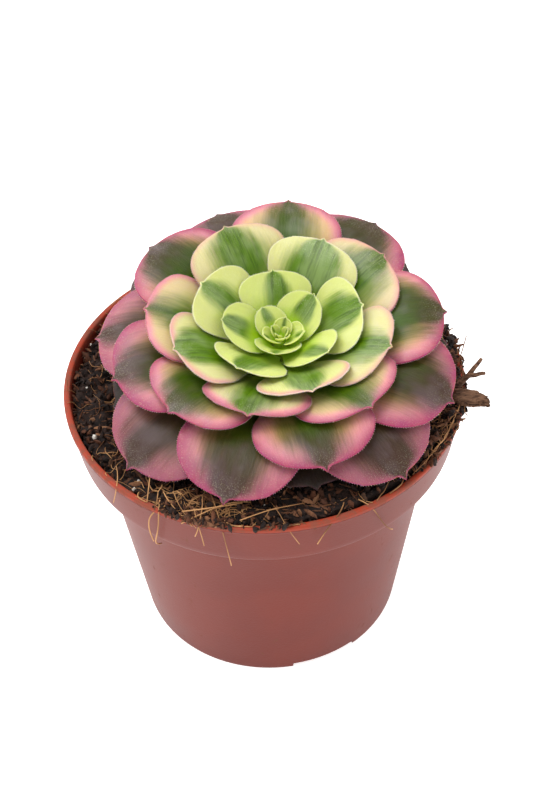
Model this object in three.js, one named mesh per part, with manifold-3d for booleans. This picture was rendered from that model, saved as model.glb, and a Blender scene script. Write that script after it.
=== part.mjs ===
// A potted aeonium: a rosette of spoon-shaped, variegated leaves on a short stem, in a small
// plastic nursery pot full of soil. Millimetres, +Z up. The pot stands on z = 0 and the origin is
// the middle of the foot of the whole object's box.
import * as THREE from "three";
import { mergeVertices } from "three/addons/utils/BufferGeometryUtils.js";
import Module from "manifold-3d";

const wasm = await Module();
wasm.setup();

// ---------------------------------------------------------------- driving dimensions
const pot = {
  height: 63,
  rimRadius: 42.5,
  collarRadius: 40.5, // outer radius at the bottom edge of the collar
  collarHeight: 11.75,
  shoulderRadius: 36.2, // body radius just under the collar
  shoulderDrop: 13.4, // from the rim down to the top of the body
  footRadius: 29.4,
  lip: 1.3, // flat top of the rim
  wall: 1.1,
  footWidth: 2.2, // the ring that the pot stands on
  floorUnderside: 1.6, // the floor is raised off the ground by this
  floorThickness: 1.3,
  notches: 3, // gaps in the foot ring that let water out
  notchAzimuth: 293,
  notchAngle: 30,
  notchHeight: 1.4,
  drainHoles: 6,
  drainRadius: 3.2,
  drainCircle: 19,
  drainSides: 16,
  edge: 0.3, // bevels of the foot, the collar and the lip
  sides: 48,
};

const rosette = {
  centre: new THREE.Vector3(3.7, -0.25, 74.5),
  lean: 9.3, // degrees towards -Y
  leaves: 38,
  fallen: 28, // this leaf has dropped off
  firstAzimuth: 122.3,
  divergence: 138.06, // degrees from each leaf to the next older one
  longestReach: 60, // the reach that ever older leaves would tend to
  reachAge: 29.7,
  ageOffset: 3.41,
  oldestReach: 40.5, // leaves past the witheringAge shrink again
  witheringAge: 30,
  witheringShrink: 0.4, // for each place past that age
  // height of the leaf tips over the middle, as a polynomial of their distance from it
  dome: [-0.83, 0.676, -0.00456, -0.000342],
  // distance between the bowls of one leaf and the next
  layerAtStem: 0.52,
  layerWhereSteep: 0.64,
  steepFrom: 2,
  steepTo: 9,
  layerOutside: 0.5,
  outsideFrom: 14,
  outsideTo: 28,
  widestLeaf: 26, // the width that ever older leaves would tend to
  widthAge: 9,
  widthOffset: 3,
  roundUntil: 10, // age at which a leaf has the outline of the old ones
  primeFrom: 3,
  primeTo: 14,
};

// A leaf in its prime is spoon-shaped and nearly flat from side to side. The youngest are
// rounder, and are bent round the bud.
const leafShape = {
  widestAt: 0.68, // share of the length
  youngWidestAt: 0.55,
  roundEndAt: 0.965,
  endPower: 2.1, // of the superellipse that rounds the end
  youngEndPower: 1.9,
  footShare: 0.4, // half width at the stem over the distance from the stem's axis
  tipShare: 0.3, // half width of the pointed tip where it leaves the round end
  tipLength: 0.1,
  tipPower: 1.1,
  blendPower: 3, // joins the tip to the round end
  flatness: 0.7, // 0 follows the bowl from side to side, 1 lies flat across
  youngFlatness: 0.5,
  restingFlatness: 0.4, // share of it on the side that rests on the leaf three places older
  tightestBend: 3, // radius of the bend of a young leaf
  bendAges: 5, // older leaves aren't bent round the bud
  edgeThickness: 0.65,
  baseThickness: 0.9,
  bodyThickness: 1.3,
  thickFrom: -2, // ages between which the body fills out
  thickTo: 12,
  thinEndFrom: 0.85, // share of the length from which the end thins out
  narrowest: 0.35, // half width of the blunt tip
  stations: [0, 0.2, 0.4, 0.55, 0.66, 0.76, 0.84, 0.9, 0.945, 1], // where the rows of points lie
  columns: 6,
};

const stem = {
  baseRadius: 1.8, // where the youngest leaf is attached
  radiusPerLeaf: 0.09,
  gap: 0.65,
  topGap: 0.7, // from its top to the foot of the bud
  agesPerRing: 5, // the outline has a point for every fifth leaf
  sides: 16,
  depth: 21, // below the middle of the rosette
  socketGap: 0.5,
};

// the closed bud in the middle of the rosette
const heart = {
  leaves: 7,
  reach: 5.3, // of its oldest leaf
  shrink: 0.8, // from each leaf to the next younger one
  spread: 64, // half angle that a leaf of the bud covers
  foot: 0.6,
  base: -0.1,
  tipHeight: 3.5,
  innerTipHeight: 2.1,
  roundFrom: 0.5, // share of the length beyond which the outline closes to the tip
  roundEndAt: 1.02,
  footSpread: 0.5, // share of the spread at the foot
  tipSpread: 0.1,
  drawnIn: 0.12, // share by which the sides lie nearer the middle than the spine
  bulge: 0.8, // below 1 the cups swell out low down
  rise: 1.3, // above 1 they climb more steeply towards the tip
  thickness: 0.7,
  coneRadius: 1.4,
  coneHeight: 2.2,
  coneDrop: 0.2,
  coneSides: 12,
  rows: 5,
  columns: 6,
};

const soil = {
  gap: 0.3, // to the pot and the stem
  drop: 2.8, // from the rim to the soil on the left
  heap: 3.4, // how much higher it lies towards heapAzimuth
  heapAzimuth: -18,
  heapFrom: 15, // distances from the middle between which the heap rises
  heapTo: 40,
  hollow: 3.2, // deeper round the stem than at the wall
  hollowFrom: 6,
  hollowTo: 32,
  lumps: [
    { x: 0.61, y: -0.53, phase: 1.3, height: 0.28 },
    { x: 0.61, y: 0.53, phase: -0.3, height: 0.28 },
    { x: 1.27, y: -0.9, phase: 0.5, height: 0.33 },
  ],
  rings: 9,
  leafClearance: 0.45,
  edgeRise: 3, // past the tips of the oldest leaves the soil may rise by this
  edgeFrom: 36.5,
  edgeTo: 39.5,
};

const chip = {
  // a flake of bark that lies across the rim
  inner: new THREE.Vector2(38.2, -8.6),
  outer: new THREE.Vector2(46.3, -14.0),
  rise: 1.9, // of the outer end
  width: 3.6,
  thickness: 2.1,
  // shares of the length and the width
  outline: [
    [0, -0.3],
    [0.35, -0.5],
    [0.72, -0.42],
    [0.8, -0.2],
    [1, -0.12],
    [0.97, 0.24],
    [0.6, 0.5],
    [0.2, 0.42],
  ],
};

const twig = {
  foot: new THREE.Vector3(39.4, -7.0, 64.6),
  fork: new THREE.Vector3(42.1, -7.4, 68.6),
  tips: [new THREE.Vector3(44.5, -7.2, 73.0), new THREE.Vector3(45.0, -9.4, 71.0)],
  footRadius: 0.8,
  tipRadius: 0.4,
  forkOverlap: 0.15, // share of the stalk that the two branches run down into it
  sides: 6,
};

// how single leaves stray from the spiral: turn in degrees, reach and lift in millimetres, and
// breadth as a share of the width
const strays = {
  0: { turn: 0.5, reach: 0.3, breadth: 1.08 },
  1: { turn: -1.5, reach: -0.6, lift: 0.8, breadth: 1.2 },
  2: { turn: 4.5, lift: 0.8, breadth: 1.02 },
  3: { turn: 0.5, reach: 0.5 },
  4: { turn: 1, lift: 0.3, breadth: 0.88 },
  5: { turn: 2, reach: -1, lift: -0.3 },
  6: { turn: 3.5, reach: -0.6 },
  7: { turn: -1, reach: -0.4, lift: -0.2, breadth: 1.06 },
  8: { turn: 3, reach: -0.4 },
  9: { turn: 1, reach: 0.4, lift: -0.1 },
  10: { reach: 0.2, lift: 0.2 },
  11: { reach: 0.3 },
  12: { turn: -1.5, reach: -0.3, lift: -0.3 },
  13: { turn: -2.5, reach: 1, lift: 0.5 },
  14: { turn: -1.5, reach: -0.8 },
  15: { turn: 2, reach: -0.2 },
  16: { turn: 1.5, reach: -0.6 },
  17: { turn: -2.5, reach: -1 },
  18: { turn: -2.5, reach: 2.2, lift: 1 },
  19: { turn: -2, reach: -0.3, lift: -0.2 },
  20: { reach: 1.8 },
  21: { turn: -1.5, reach: 2, lift: 0.8 },
  22: { turn: 3, reach: 1.4, lift: -0.3 },
  23: { turn: -4.5, reach: 1, lift: 0.2 },
  24: { turn: 1 },
  25: { turn: -1.5, reach: 1.7, lift: -0.2 },
  26: { turn: -2 },
  27: { turn: 2, reach: 2.2, lift: -0.4 },
  29: { turn: 8, reach: -0.8, lift: -0.8 },
  30: { turn: 1, reach: 0.4 },
  32: { turn: 0.5, reach: 2.4, lift: -0.3 },
  33: { turn: 1, reach: -4.5, lift: -1 },
  35: { turn: 5, reach: -2.5, lift: 0.5 },
  37: { turn: 8, reach: -0.8, lift: -0.6 },
};

// ---------------------------------------------------------------- helpers
const radians = THREE.MathUtils.degToRad;
const { lerp, smoothstep } = THREE.MathUtils;

function solidOf(geometry) {
  const bare = geometry.clone();
  bare.deleteAttribute("normal");
  bare.deleteAttribute("uv");
  const merged = mergeVertices(bare, 1e-4);
  return new wasm.Manifold(
    new wasm.Mesh({
      numProp: 3,
      vertProperties: merged.getAttribute("position").array,
      triVerts: new Uint32Array(merged.index.array),
    }),
  );
}

function geometryOf(solid) {
  const mesh = solid.getMesh();
  const geometry = new THREE.BufferGeometry();
  geometry.setAttribute("position", new THREE.BufferAttribute(mesh.vertProperties, 3));
  geometry.setIndex(new THREE.BufferAttribute(mesh.triVerts, 1));
  geometry.computeVertexNormals();
  return geometry;
}

function meshOf(name, geometry, color, roughness) {
  const material = new THREE.MeshStandardMaterial({ color, roughness, metalness: 0 });
  const mesh = new THREE.Mesh(geometry, material);
  mesh.name = name;
  return mesh;
}

// ---------------------------------------------------------------- the rosette's rules
// Every leaf lies on its own bowl round the stem, and the bowls are nested, so that each leaf
// passes under all the younger ones.
function reachAt(age) {
  return rosette.longestReach * (1 - Math.exp(-(age + rosette.ageOffset) / rosette.reachAge));
}

function ageAt(radius) {
  return -rosette.reachAge * Math.log(1 - radius / rosette.longestReach) - rosette.ageOffset;
}

// height of the leaf tips over the rosette's middle
function domeHeight(radius) {
  return rosette.dome.reduce((height, factor, power) => height + factor * radius ** power, 0);
}

function bowlHeight(age, radius) {
  const { layerAtStem, layerWhereSteep, steepFrom, steepTo, layerOutside, outsideFrom, outsideTo } = rosette;
  const steep = lerp(layerAtStem, layerWhereSteep, smoothstep(radius, steepFrom, steepTo));
  const layer = lerp(steep, layerOutside, smoothstep(radius, outsideFrom, outsideTo));
  return domeHeight(radius) - layer * (age - ageAt(radius));
}

function attachRadius(age) {
  return stem.baseRadius + stem.radiusPerLeaf * age;
}

function leafOf(age) {
  const withered = Math.max(0, age - rosette.witheringAge);
  const shrunk = rosette.oldestReach - rosette.witheringShrink * withered;
  const reach = withered > 0 ? shrunk : reachAt(age);
  const stray = { turn: 0, reach: 0, lift: 0, breadth: 1, ...strays[age] };
  const width = rosette.widestLeaf * (1 - Math.exp(-(age + rosette.widthOffset) / rosette.widthAge));
  const prime = smoothstep(age, rosette.primeFrom, rosette.primeTo);
  const outlined = smoothstep(age, 0, rosette.roundUntil);
  return {
    age,
    reach: reach + stray.reach,
    width: width * stray.breadth,
    base: attachRadius(age),
    azimuth: rosette.firstAzimuth + rosette.divergence * age + stray.turn,
    lift: stray.lift,
    flatness: lerp(leafShape.youngFlatness, leafShape.flatness, prime),
    bend: 1 - smoothstep(age, 0, leafShape.bendAges),
    widestAt: lerp(leafShape.youngWidestAt, leafShape.widestAt, outlined),
    endPower: lerp(leafShape.youngEndPower, leafShape.endPower, outlined),
  };
}

// ---------------------------------------------------------------- one leaf
function halfWidth(leaf, along) {
  let share;
  if (along < leaf.widestAt) {
    const rise = 0.5 - 0.5 * Math.cos((Math.PI * along) / leaf.widestAt);
    const foot = (2 * leafShape.footShare * leaf.base) / leaf.width;
    share = foot + (1 - foot) * rise;
  } else {
    const end = Math.min(1, (along - leaf.widestAt) / (leafShape.roundEndAt - leaf.widestAt));
    share = (1 - end ** leaf.endPower) ** (1 / leaf.endPower);
  }
  const { tipShare, tipLength, tipPower, blendPower } = leafShape;
  const pointed = along > 1 - tipLength ? tipShare * ((1 - along) / tipLength) ** tipPower : 0;
  const blended = (share ** blendPower + pointed ** blendPower) ** (1 / blendPower);
  return Math.max(leafShape.narrowest, 0.5 * leaf.width * blended);
}

// middle surface of the leaf, in its own frame: x outwards, y across, z up
function middle(leaf, along, across) {
  const reach = lerp(leaf.base, leaf.reach, along);
  let x = reach;
  let y = across * halfWidth(leaf, along);
  if (leaf.bend > 0) {
    const radius = Math.max(reach, leafShape.tightestBend) / leaf.bend;
    x -= radius * (1 - Math.cos(y / radius));
    y = radius * Math.sin(y / radius);
  }
  const flatness = across > 0 ? leaf.flatness * leafShape.restingFlatness : leaf.flatness;
  const height = bowlHeight(leaf.age, lerp(Math.hypot(x, y), reach, flatness));
  return new THREE.Vector3(x, y, height + leaf.lift * along * along);
}

function thickness(leaf, along, across) {
  const { baseThickness, bodyThickness, edgeThickness, thickFrom, thickTo, thinEndFrom } = leafShape;
  const body = lerp(baseThickness, bodyThickness, smoothstep(leaf.age, thickFrom, thickTo));
  const ridge = lerp(baseThickness, body, Math.sin(Math.PI * along));
  const fade = 1 - smoothstep(along, thinEndFrom, 1);
  return edgeThickness + (ridge - edgeThickness) * (1 - across * across) * fade;
}

function leafGeometry(leaf) {
  const rows = leafShape.stations;
  const columns = leafShape.columns;
  const step = 1e-3;
  const top = [];
  const bottom = [];
  for (const along of rows) {
    for (let column = 0; column <= columns; column++) {
      const across = (2 * column) / columns - 1;
      const point = middle(leaf, along, across);
      const inward = along > 0.5 ? -step : step;
      const side = across > 0 ? -step : step;
      const outwards = middle(leaf, along + inward, across).sub(point).divideScalar(inward);
      const sideways = middle(leaf, along, across + side).sub(point).divideScalar(side);
      const normal = outwards.cross(sideways).normalize();
      const half = 0.5 * thickness(leaf, along, across);
      top.push(point.clone().addScaledVector(normal, half));
      bottom.push(point.clone().addScaledVector(normal, -half));
    }
  }
  return closedBlade(top, bottom, rows.length - 1, columns);
}

// closes two matching grids of points into one solid, split alike on both faces
function closedBlade(top, bottom, rows, columns) {
  const index = [];
  const stride = columns + 1;
  const under = top.length;
  for (let row = 0; row < rows; row++) {
    for (let column = 0; column < columns; column++) {
      const a = row * stride + column;
      const b = a + stride;
      const c = b + 1;
      const d = a + 1;
      index.push(a, b, c, a, c, d);
      index.push(under + a, under + c, under + b, under + a, under + d, under + c);
    }
  }
  const rim = [];
  for (let row = 0; row < rows; row++) rim.push(row * stride);
  for (let column = 0; column < columns; column++) rim.push(rows * stride + column);
  for (let row = rows; row > 0; row--) rim.push(row * stride + columns);
  for (let column = columns; column > 0; column--) rim.push(column);
  rim.forEach((a, i) => {
    const b = rim[(i + 1) % rim.length];
    index.push(a, under + a, under + b, a, under + b, b);
  });
  const geometry = new THREE.BufferGeometry().setFromPoints([...top, ...bottom]);
  geometry.setIndex(index);
  geometry.computeVertexNormals();
  return geometry;
}

function leafMesh(age) {
  const leaf = leafOf(age);
  const young = new THREE.Color(0x9cc23c);
  const old = new THREE.Color(0xa04a6c);
  const color = young.lerp(old, smoothstep(age, 8, 26));
  const mesh = meshOf("leaf_" + String(age + 1).padStart(2, "0"), leafGeometry(leaf), color, 0.5);
  mesh.rotation.z = radians(leaf.azimuth);
  return mesh;
}

// ---------------------------------------------------------------- heart
// The youngest leaves are still a bud: small cups, one inside the next, on a short cone.
function heartLeaf(order) {
  const share = heart.shrink ** (order - 1);
  const reach = heart.reach * share;
  const tipHeight = lerp(heart.innerTipHeight, heart.tipHeight, share);
  const turned = radians(rosette.firstAzimuth - rosette.divergence * order);
  const { rows, columns, roundFrom, roundEndAt } = heart;
  const top = [];
  const bottom = [];
  for (let row = 0; row <= rows; row++) {
    const along = row / rows;
    const end = Math.max(0, (along - roundFrom) / (roundEndAt - roundFrom));
    const open = Math.sqrt(1 - end ** 2) * Math.min(1, heart.footSpread + along);
    const spread = radians(heart.spread) * Math.max(heart.tipSpread, open);
    const radius = lerp(heart.foot, reach, along ** heart.bulge);
    const height = lerp(heart.base, tipHeight, along ** heart.rise);
    for (let column = 0; column <= columns; column++) {
      const across = (2 * column) / columns - 1;
      const angle = turned + spread * across;
      const distance = radius * (1 - heart.drawnIn * across * across);
      const inside = distance - 0.5 * heart.thickness;
      const outside = distance + 0.5 * heart.thickness;
      top.push(new THREE.Vector3(inside * Math.cos(angle), inside * Math.sin(angle), height));
      bottom.push(new THREE.Vector3(outside * Math.cos(angle), outside * Math.sin(angle), height));
    }
  }
  return closedBlade(top, bottom, rows, columns);
}

function heartMesh() {
  const cone = new THREE.ConeGeometry(heart.coneRadius, heart.coneHeight, heart.coneSides);
  cone.rotateX(Math.PI / 2);
  cone.translate(0, 0, heart.base + 0.5 * heart.coneHeight - heart.coneDrop);
  let solid = solidOf(cone);
  for (let order = 1; order <= heart.leaves; order++) solid = solid.add(solidOf(heartLeaf(order)));
  return meshOf("heart", geometryOf(solid), 0xb9d860, 0.5);
}

// ---------------------------------------------------------------- stem
function stemRadius(age) {
  return attachRadius(age) - stem.gap;
}

function stemMesh() {
  const lowest = rosette.leaves - 1;
  const profile = [new THREE.Vector2(0, -stem.depth), new THREE.Vector2(stemRadius(lowest), -stem.depth)];
  for (let age = lowest; age >= 0; age -= stem.agesPerRing) {
    profile.push(new THREE.Vector2(stemRadius(age), bowlHeight(age, attachRadius(age))));
  }
  profile.push(new THREE.Vector2(0, heart.base - stem.topGap));
  return meshOf("stem", new THREE.LatheGeometry(profile, stem.sides).rotateX(Math.PI / 2), 0x7d8a46, 0.8);
}

// ---------------------------------------------------------------- pot
function bodyRadius(z) {
  return pot.footRadius + ((pot.shoulderRadius - pot.footRadius) * z) / (pot.height - pot.shoulderDrop);
}

function innerRadius(z) {
  const collarFoot = pot.height - pot.collarHeight;
  const shoulder = pot.height - pot.shoulderDrop;
  if (z <= shoulder) return bodyRadius(z) - pot.wall;
  if (z <= collarFoot) {
    const share = (z - shoulder) / (collarFoot - shoulder);
    return lerp(bodyRadius(shoulder), pot.collarRadius, share) - pot.wall;
  }
  const share = (z - collarFoot) / pot.collarHeight;
  return lerp(pot.collarRadius - pot.wall, pot.rimRadius - pot.lip, share);
}

function ringSector(inner, outer, middleAngle, angle, height) {
  const start = radians(middleAngle - angle / 2);
  const end = radians(middleAngle + angle / 2);
  const outline = new THREE.Shape();
  outline.absarc(0, 0, outer, start, end, false);
  outline.absarc(0, 0, inner, end, start, true);
  return new THREE.ExtrudeGeometry(outline, { depth: height, bevelEnabled: false, curveSegments: 6 });
}

function potMesh() {
  const top = pot.height;
  const collarFoot = top - pot.collarHeight;
  const shoulder = top - pot.shoulderDrop;
  const floorTop = pot.floorUnderside + pot.floorThickness;
  const outline = [
    [0, pot.floorUnderside],
    [pot.footRadius - pot.footWidth, pot.floorUnderside],
    [pot.footRadius - pot.footWidth, 0],
    [pot.footRadius - pot.edge, 0],
    [pot.footRadius, pot.edge],
    [bodyRadius(shoulder), shoulder],
    [pot.collarRadius - pot.edge, collarFoot],
    [pot.collarRadius, collarFoot + pot.edge],
    [pot.rimRadius, top - pot.edge],
    [pot.rimRadius - pot.edge, top],
    [pot.rimRadius - pot.lip, top],
    [innerRadius(collarFoot), collarFoot],
    [innerRadius(shoulder), shoulder],
    [innerRadius(floorTop), floorTop],
    [0, floorTop],
  ].map(([radius, z]) => new THREE.Vector2(radius, z));
  let solid = solidOf(new THREE.LatheGeometry(outline, pot.sides).rotateX(Math.PI / 2));
  for (let i = 0; i < pot.notches; i++) {
    const azimuth = pot.notchAzimuth + (360 * i) / pot.notches;
    const inside = pot.footRadius - 1.5 * pot.footWidth;
    const outside = pot.footRadius + 0.5 * pot.footWidth;
    const notch = ringSector(inside, outside, azimuth, pot.notchAngle, 2 * pot.notchHeight);
    solid = solid.subtract(solidOf(notch.translate(0, 0, -pot.notchHeight)));
  }
  for (let i = 0; i < pot.drainHoles; i++) {
    const angle = radians(pot.notchAzimuth + (360 * i) / pot.drainHoles);
    const depth = 4 * pot.floorThickness;
    const hole = new THREE.CylinderGeometry(pot.drainRadius, pot.drainRadius, depth, pot.drainSides);
    hole.rotateX(Math.PI / 2);
    hole.translate(pot.drainCircle * Math.cos(angle), pot.drainCircle * Math.sin(angle), pot.floorUnderside);
    solid = solid.subtract(solidOf(hole));
  }
  return meshOf("pot", geometryOf(solid), 0x9c4c3c, 0.45);
}

// ---------------------------------------------------------------- soil
const leaned = new THREE.Matrix4().makeRotationX(radians(rosette.lean)).setPosition(rosette.centre);
const upright = leaned.clone().invert();

// underside of the lowest bowl of leaves over a point of the soil
function leafCeiling(x, y) {
  let z = pot.height;
  for (let i = 0; i < 4; i++) {
    const local = new THREE.Vector3(x, y, z).applyMatrix4(upright);
    const radius = Math.min(Math.hypot(local.x, local.y), rosette.oldestReach + 2);
    const pastOldest = smoothstep(radius, soil.edgeFrom, soil.edgeTo) * soil.edgeRise;
    z += bowlHeight(rosette.leaves - 1, radius) + pastOldest - leafShape.bodyThickness - local.z;
  }
  return z;
}

function soilHeight(x, y) {
  const radius = Math.hypot(x, y);
  const towardsHeap = Math.cos(Math.atan2(y, x) - radians(soil.heapAzimuth));
  const heap = smoothstep(towardsHeap, -0.6, 1) * smoothstep(radius, soil.heapFrom, soil.heapTo);
  const hollow = 1 - smoothstep(radius, soil.hollowFrom, soil.hollowTo);
  let height = pot.height - soil.drop + soil.heap * heap - soil.hollow * hollow;
  for (const lump of soil.lumps) height += lump.height * Math.sin(lump.x * x + lump.y * y + lump.phase);
  return Math.min(height, leafCeiling(x, y) - soil.leafClearance);
}

function soilMesh() {
  const floor = pot.floorUnderside + pot.floorThickness + soil.gap;
  const shoulder = pot.height - pot.shoulderDrop;
  const collarFoot = pot.height - pot.collarHeight;
  const edge = innerRadius(pot.height - soil.drop - 1) - soil.gap;
  const points = [];
  for (let ring = 1; ring <= soil.rings; ring++) {
    for (let side = 0; side < pot.sides; side++) {
      const angle = (2 * Math.PI * side) / pot.sides;
      const radius = (edge * ring) / soil.rings;
      const x = radius * Math.cos(angle);
      const y = radius * Math.sin(angle);
      points.push(new THREE.Vector3(x, y, soilHeight(x, y)));
    }
  }
  for (const z of [collarFoot, shoulder, floor]) {
    for (let side = 0; side < pot.sides; side++) {
      const angle = (2 * Math.PI * side) / pot.sides;
      const radius = innerRadius(z) - soil.gap;
      points.push(new THREE.Vector3(radius * Math.cos(angle), radius * Math.sin(angle), z));
    }
  }
  const middleTop = points.push(new THREE.Vector3(0, 0, soilHeight(0, 0))) - 1;
  const middleFloor = points.push(new THREE.Vector3(0, 0, floor)) - 1;
  const index = [];
  const bands = soil.rings + 3;
  for (let side = 0; side < pot.sides; side++) {
    const next = (side + 1) % pot.sides;
    index.push(middleTop, side, next);
    for (let band = 0; band + 1 < bands; band++) {
      const a = band * pot.sides + side;
      const b = band * pot.sides + next;
      index.push(a, a + pot.sides, b + pot.sides, a, b + pot.sides, b);
    }
    const last = (bands - 1) * pot.sides;
    index.push(middleFloor, last + next, last + side);
  }
  const geometry = new THREE.BufferGeometry().setFromPoints(points);
  geometry.setIndex(index);
  const socketRadius = stemRadius(rosette.leaves - 1) + stem.socketGap;
  const socket = new THREE.CylinderGeometry(socketRadius, socketRadius, 2 * stem.depth, stem.sides);
  socket.rotateX(Math.PI / 2);
  socket.translate(0, 0, -stem.socketGap);
  socket.applyMatrix4(leaned);
  const solid = solidOf(geometry).subtract(solidOf(socket));
  return meshOf("soil", geometryOf(solid), 0x2c1f18, 0.95);
}

// ---------------------------------------------------------------- bark and twig
function barkChip() {
  const { inner, outer, width, thickness: thick } = chip;
  const length = inner.distanceTo(outer);
  const corners = chip.outline.map(([along, across]) => new THREE.Vector2(along * length, across * width));
  const flake = new THREE.ExtrudeGeometry(new THREE.Shape(corners), { depth: thick, bevelEnabled: false });
  const mesh = meshOf("bark_chip", flake, 0x7a5238, 0.9);
  const along = outer.clone().sub(inner);
  mesh.rotation.set(0, -Math.atan2(chip.rise, length), Math.atan2(along.y, along.x), "ZYX");
  const rest = Math.max(pot.height, soilHeight(inner.x, inner.y));
  mesh.position.set(inner.x, inner.y, rest + soil.gap);
  return mesh;
}

function taperedRod(from, to, fromRadius, toRadius) {
  const along = to.clone().sub(from);
  const rod = new THREE.CylinderGeometry(toRadius, fromRadius, along.length(), twig.sides);
  rod.translate(0, along.length() / 2, 0);
  const turn = new THREE.Quaternion().setFromUnitVectors(new THREE.Vector3(0, 1, 0), along.normalize());
  rod.applyQuaternion(turn);
  rod.translate(from.x, from.y, from.z);
  return solidOf(rod);
}

function forkedTwig() {
  const forkRadius = 0.5 * (twig.footRadius + twig.tipRadius);
  let solid = taperedRod(twig.foot, twig.fork, twig.footRadius, forkRadius);
  for (const tip of twig.tips) {
    const start = twig.fork.clone().lerp(twig.foot, twig.forkOverlap);
    solid = solid.add(taperedRod(start, tip, forkRadius, twig.tipRadius));
  }
  return meshOf("forked_twig", geometryOf(solid), 0x6a4630, 0.9);
}

// ---------------------------------------------------------------- assembly
const plant = new THREE.Group();
plant.rotation.x = radians(rosette.lean);
plant.position.copy(rosette.centre);
plant.add(heartMesh(), stemMesh());
for (let age = 0; age < rosette.leaves; age++) {
  if (age !== rosette.fallen) plant.add(leafMesh(age));
}

const standing = new THREE.Group();
standing.add(potMesh(), soilMesh(), plant, barkChip(), forkedTwig());
standing.updateMatrixWorld(true);
const box = new THREE.Box3().setFromObject(standing, true);
const middleOfBox = box.getCenter(new THREE.Vector3());
standing.position.set(-middleOfBox.x, -middleOfBox.y, -box.min.z);

const part = new THREE.Group();
part.add(standing);
export default part;
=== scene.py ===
# A potted aeonium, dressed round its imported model. Sizes in the dictionaries are millimetres,
# angles are degrees and colours are the 0 to 255 values of a screen.
import random
from bisect import bisect_left
from functools import partial
from math import acos, atan2, copysign, cos, degrees, exp, hypot, log, pi, radians, sin, sqrt

import bmesh
import bpy
from mathutils import Matrix, Vector, kdtree, noise


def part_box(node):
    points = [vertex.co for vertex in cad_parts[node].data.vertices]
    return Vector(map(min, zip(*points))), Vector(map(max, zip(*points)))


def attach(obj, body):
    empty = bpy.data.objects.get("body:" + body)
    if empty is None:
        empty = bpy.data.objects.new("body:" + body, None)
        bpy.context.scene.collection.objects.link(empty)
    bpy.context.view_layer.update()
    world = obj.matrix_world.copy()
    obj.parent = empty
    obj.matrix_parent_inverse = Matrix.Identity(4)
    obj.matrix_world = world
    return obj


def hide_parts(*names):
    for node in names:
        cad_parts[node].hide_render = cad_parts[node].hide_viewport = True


mm = 0.001

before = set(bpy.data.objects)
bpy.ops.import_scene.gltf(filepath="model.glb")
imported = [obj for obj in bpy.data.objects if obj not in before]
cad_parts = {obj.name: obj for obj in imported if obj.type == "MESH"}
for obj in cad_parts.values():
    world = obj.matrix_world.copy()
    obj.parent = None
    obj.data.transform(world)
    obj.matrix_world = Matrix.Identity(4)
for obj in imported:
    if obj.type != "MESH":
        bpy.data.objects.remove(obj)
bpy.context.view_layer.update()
potLow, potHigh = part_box("pot")
potAxis = Vector(((potLow.x + potHigh.x) / 2, (potLow.y + potHigh.y) / 2, 0))
axis = potAxis / mm    # the same in millimetres


# small helpers

def lerp(low, high, share):
    return low + (high - low) * share


def ease(value, low, high):
    share = min(1, max(0, (value - low) / (high - low)))
    return share * share * (3 - 2 * share)


def between(line, along):    # the value there on a line of (place, value)
    for (start, low), (end, high) in zip(line, line[1:]):
        if along <= end:
            return lerp(low, high, (along - start) / (end - start))
    return line[-1][1]


def wobble(x, y, z):    # smooth noise from -1 to 1
    return noise.noise(Vector((x, y, z)))


def polar(radius, angle):
    return radius * cos(angle), radius * sin(angle)


def switchTo(mode):
    bpy.ops.object.mode_set(mode=mode)


def clearSelection():
    if bpy.context.object and bpy.context.object.mode != "OBJECT":
        switchTo("OBJECT")
    bpy.ops.object.select_all(action="DESELECT")


def keepActive(piece):
    clearSelection()
    piece.select_set(True)
    bpy.context.view_layer.objects.active = piece


def applyAll(piece):
    keepActive(piece)
    for name in [modifier.name for modifier in piece.modifiers]:
        bpy.ops.object.modifier_apply(modifier=name)


def primitive(name, kind, **settings):    # a mesh that starts as one of Blender's primitives
    clearSelection()
    getattr(bpy.ops.mesh, "primitive_%s_add" % kind)(**settings)
    piece = bpy.context.object
    piece.name = name
    return piece


def addObject(name, data):
    made = bpy.data.objects.new(name, data)
    bpy.context.scene.collection.objects.link(made)
    return made


def closeSeams(piece, distance):    # merges its doubles and turns its faces outwards
    keepActive(piece)
    switchTo("EDIT")
    bpy.ops.mesh.select_all(action="SELECT")
    bpy.ops.mesh.remove_doubles(threshold=distance)
    bpy.ops.mesh.normals_make_consistent(inside=False)
    switchTo("OBJECT")


def place(piece, nodeNames, finish):    # it rides on the part and stands for the nodes
    piece.data.materials.clear()
    piece.data.materials.append(finish)
    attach(piece, "root")
    if nodeNames:
        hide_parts(*nodeNames)


# shader maths

def linear(share):
    return share / 12.92 if share <= 0.04045 else ((share + 0.055) / 1.055) ** 2.4


def screen(*channels):    # a screen colour as the linear one that a shader takes
    return (*[linear(channel / 255) for channel in channels], 1)


class Field:    # a socket that plain maths can be written on
    def __init__(self, finish, socket):
        self.finish = finish
        self.socket = socket

    def join(self, operation, first, second):
        return self.finish.node("ShaderNodeMath", {"operation": operation}, {0: first, 1: second})

    def __add__(self, other):
        return self.join("ADD", self, other)

    def __sub__(self, other):
        return self.join("SUBTRACT", self, other)

    def __rsub__(self, other):
        return self.join("SUBTRACT", other, self)

    def __mul__(self, other):
        return self.join("MULTIPLY", self, other)

    def __abs__(self):
        return self.join("ABSOLUTE", self, 0)

    __radd__ = __add__
    __rmul__ = __mul__


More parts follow.
